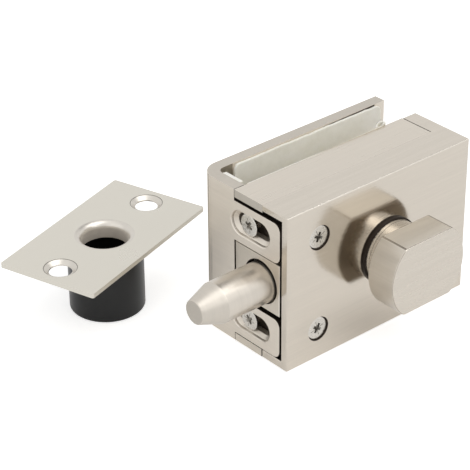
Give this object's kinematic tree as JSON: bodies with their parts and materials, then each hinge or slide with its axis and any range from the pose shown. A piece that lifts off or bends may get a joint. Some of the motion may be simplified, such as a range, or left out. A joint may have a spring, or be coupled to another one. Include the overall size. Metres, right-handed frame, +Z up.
{
  "type": "glass door floor lock",
  "caption": "Clamp-on lock for the bottom corner of a frameless glass door: a knob drives a round bolt through a rack and pinion into a floor strike with a cup.",
  "frame": {"origin": "centre of the lock case's footprint, on the surface that the case and the strike stand on", "axes": "+Z up as it lies, -X the way the bolt comes out, -Y towards the knob, +Y towards the clamp's rear jaw"},
  "size_m": [0.1256, 0.109, 0.053],
  "materials": {
    "cover_metal": "satin nickel, brushed along the bolt",
    "chassis_metal": "satin nickel",
    "guide_metal": "satin nickel",
    "clamp_metal": "satin nickel, brushed",
    "bolt_metal": "turned satin",
    "knob_metal": "satin nickel",
    "strike_metal": "fine satin",
    "screw_zinc": "bright zinc plate",
    "inner_steel": "machined",
    "brass": "machined",
    "nylon": "moulded",
    "pad_milky": "translucent soft plastic",
    "black_plastic": "moulded",
    "cup_plastic": "moulded, slight sheen"
  },
  "bodies": {
    "case": {"case_cover": "cover_metal", "lock_chassis": "chassis_metal", "bolt_guide": "guide_metal", "front_glass_pad": "pad_milky", "clamp_screws": "screw_zinc", "cover_screws": "screw_zinc", "guide_screws": "screw_zinc", "rack_rail": "nylon", "rail_screws": "screw_zinc", "detent_ball": "inner_steel", "detent_spring": "inner_steel", "detent_plug": "screw_zinc", "front_bush": "brass", "rear_bush": "brass"},
    "clamp": {"clamp_plate": "clamp_metal", "rear_glass_pad": "pad_milky", "edge_glass_pad": "pad_milky"},
    "bolt": {"deadbolt": "bolt_metal", "bolt_rack": "inner_steel", "rack_pin": "inner_steel"},
    "knob": {"turn_knob": "knob_metal", "knob_collar": "black_plastic", "knob_grub_screw": "inner_steel", "knob_spindle": "inner_steel", "drive_pinion": "brass", "pinion_pin": "inner_steel", "thrust_washer": "inner_steel", "spindle_circlip": "inner_steel"},
    "strike": {"strike_plate": "strike_metal", "dust_cup": "cup_plastic"}
  },
  "joints": [
    {"name": "knob_turn", "type": "hinge", "parent": "case", "child": "knob", "pos_m": [0.004, -0.02, 0.0265], "axis": [0, 1, 0], "range_deg": [0, 270]},
    {"name": "bolt_slide", "type": "slide", "parent": "case", "child": "bolt", "axis": [1, 0, 0], "range_m": [0, 0.02592]},
    {"name": "clamp_slide", "type": "slide", "parent": "case", "child": "clamp", "axis": [0, 1, 0], "range_m": [0, 0.004]},
    {"name": "strike_lift", "type": "slide", "parent": "case", "child": "strike", "axis": [0, 0, 1], "range_m": [0, 0.04]}
  ],
  "couplings": [
    {"joint": "knob_turn", "follows": "bolt_slide", "rad_per_m": 181.82}
  ]
}
